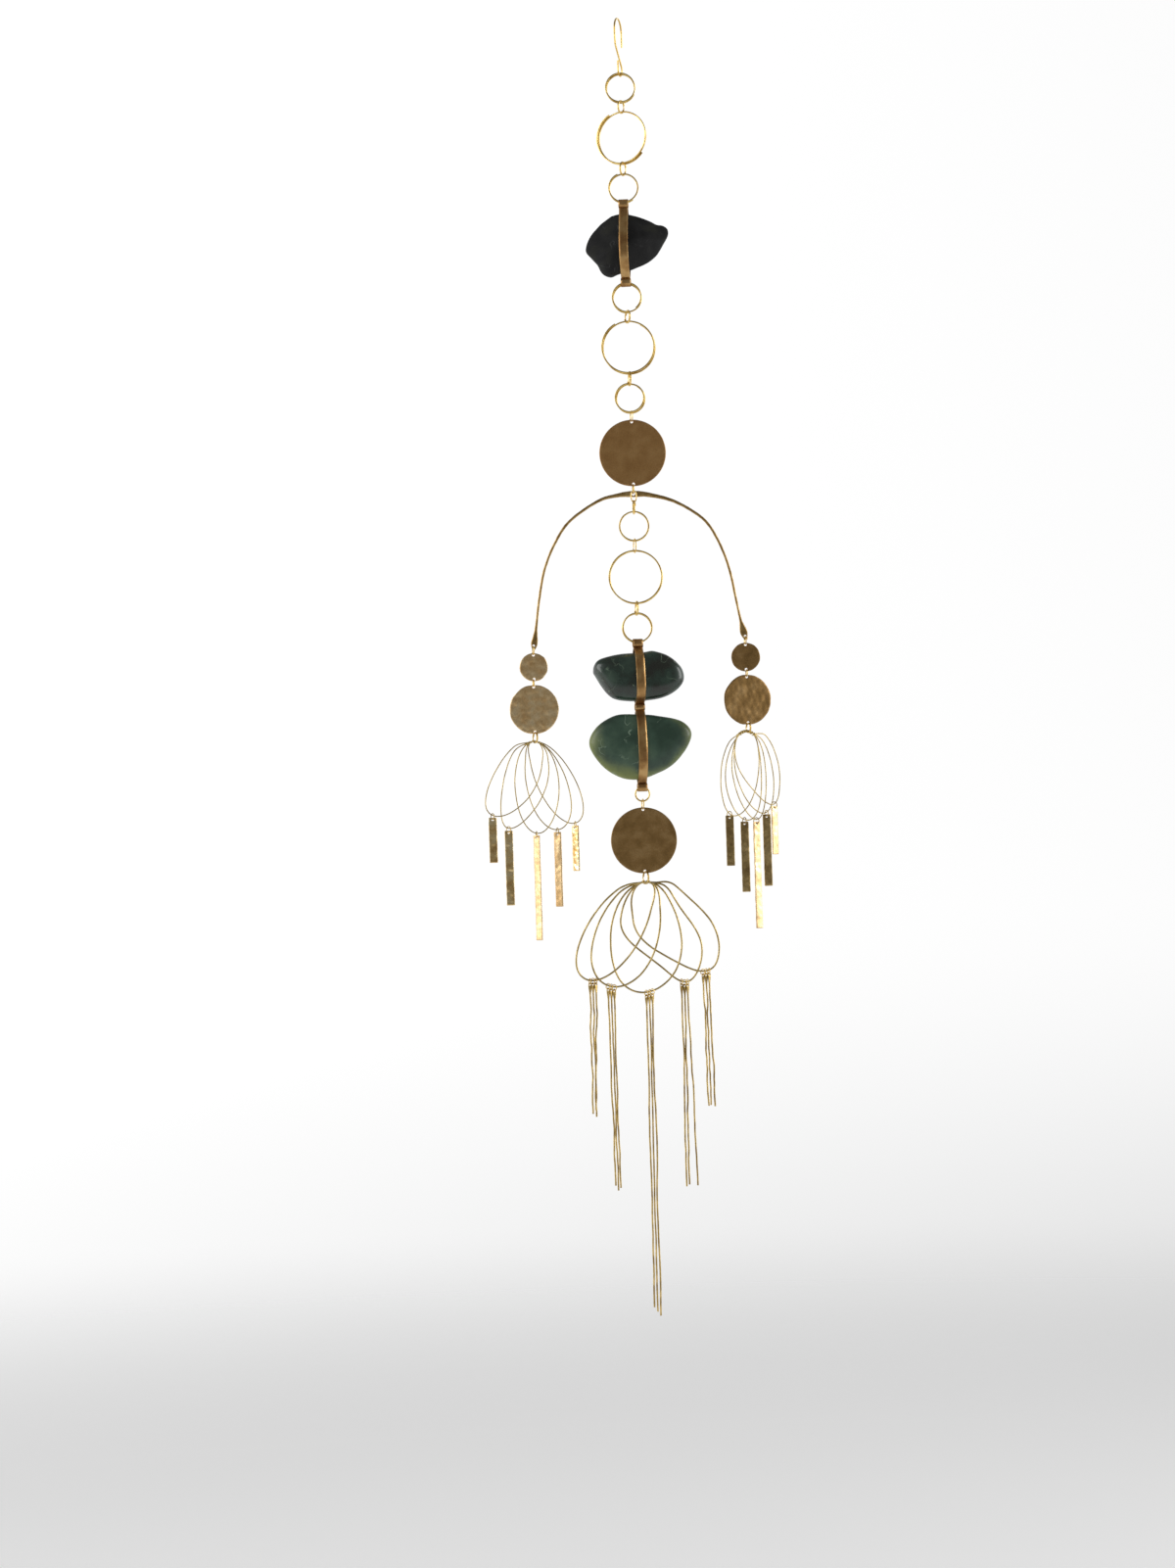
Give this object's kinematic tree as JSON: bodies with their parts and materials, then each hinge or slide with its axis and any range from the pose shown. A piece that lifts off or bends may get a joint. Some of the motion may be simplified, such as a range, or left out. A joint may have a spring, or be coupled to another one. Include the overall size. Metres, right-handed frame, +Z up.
{
  "type": "hanging mobile",
  "caption": "Handmade hanging mobile of brass rings, river stones in strap cradles, bronze discs, a hammered arch, wire lotus forms, flat strips and long fringe wires, hung by an S-hook.",
  "frame": {"origin": "top of the inside of the S-hook's upper bend, where it bears on what it hangs from", "axes": "+Z up, +X to the right seen from the front, the front towards -Y"},
  "size_m": [0.2267, 0.0388, 0.9908],
  "materials": {
    "bright_brass": "polished hammered brass wire",
    "aged_bronze": "brown patinated bronze",
    "dark_bronze": "dark brown patinated bronze",
    "pale_brass": "hammered pale brass",
    "strap_bronze": "flat strap, worn and toned with heat",
    "olive_wire": "olive brown hammered wire",
    "strip_brass": "flat hammered strip, from bright to dark",
    "fringe_brass": "hand-drawn wire, gold to brown",
    "black_stone": "matt water-worn black stone",
    "green_jade": "polished dark green stone"
  },
  "bodies": {
    "root": {"s_hook": "bright_brass", "small_ring_1": "bright_brass", "jump_ring_1": "bright_brass", "large_ring_1": "bright_brass", "jump_ring_2": "bright_brass", "small_ring_2": "bright_brass", "black_stone_cradle": "strap_bronze", "black_stone": "black_stone", "small_ring_3": "bright_brass", "jump_ring_3": "bright_brass", "large_ring_2": "bright_brass", "jump_ring_4": "bright_brass", "small_ring_4": "bright_brass", "upper_disc": "aged_bronze", "arch": "aged_bronze", "yoke_link": "bright_brass", "yoke_jump_ring": "bright_brass", "small_ring_5": "bright_brass", "jump_ring_5": "bright_brass", "large_ring_3": "bright_brass", "jump_ring_6": "bright_brass", "small_ring_6": "bright_brass", "jade_cradle": "strap_bronze", "upper_jade": "green_jade", "lower_jade": "green_jade", "oval_ring": "bright_brass", "lower_disc": "dark_bronze", "centre_lotus": "olive_wire", "left_small_disc": "pale_brass", "left_medium_disc": "pale_brass", "left_lotus": "olive_wire", "left_strip_1": "strip_brass", "left_strip_2": "strip_brass", "left_strip_3": "strip_brass", "left_strip_4": "strip_brass", "left_strip_5": "strip_brass", "right_small_disc": "dark_bronze", "right_medium_disc": "dark_bronze", "right_lotus": "olive_wire", "right_strip_1": "strip_brass", "right_strip_2": "strip_brass", "right_strip_3": "strip_brass", "right_strip_4": "strip_brass", "right_strip_5": "strip_brass", "fringe_wire_01": "fringe_brass", "fringe_wire_02": "fringe_brass", "fringe_wire_03": "fringe_brass", "fringe_wire_04": "fringe_brass", "fringe_wire_05": "fringe_brass", "fringe_wire_06": "fringe_brass", "fringe_wire_07": "fringe_brass", "fringe_wire_08": "fringe_brass", "fringe_wire_09": "fringe_brass", "fringe_wire_10": "fringe_brass", "fringe_wire_11": "fringe_brass", "fringe_wire_12": "fringe_brass", "fringe_wire_13": "fringe_brass", "fringe_wire_14": "fringe_brass", "fringe_wire_15": "fringe_brass"}
  },
  "joints": []
}
